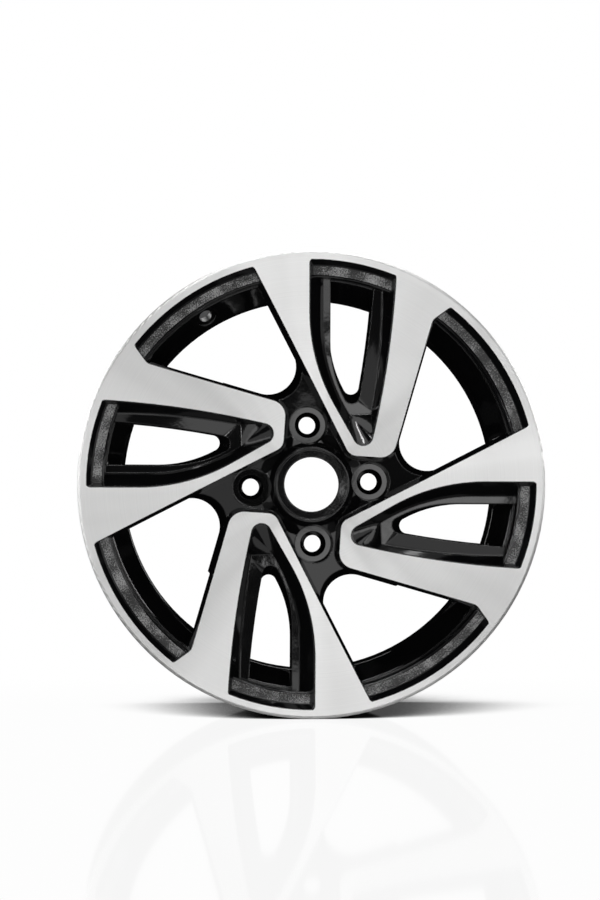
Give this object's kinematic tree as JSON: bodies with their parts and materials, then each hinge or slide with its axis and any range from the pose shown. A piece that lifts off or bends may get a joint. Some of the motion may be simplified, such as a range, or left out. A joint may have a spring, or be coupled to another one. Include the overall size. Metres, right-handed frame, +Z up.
{
  "type": "wheel rim",
  "caption": "One-piece cast car wheel rim with twisted open-pocket spokes running level into the front lip, a lug-bolt hub with a cap seat, and a deep drop-centre barrel.",
  "frame": {"origin": "centre of the rim on its spin axis, midway between the outer faces of the two flanges, which is the centre of the bounding box", "axes": "+Y along the spin axis towards the car (the face looks along -Y), +Z up, +X to the right seen from the front"},
  "size_m": [0.3894, 0.1784, 0.3894],
  "materials": {
    "rim": "machined face, gloss black paint in the pockets, on the hub and on the barrel"
  },
  "bodies": {
    "root": {"wheel_rim": "rim"}
  },
  "joints": []
}
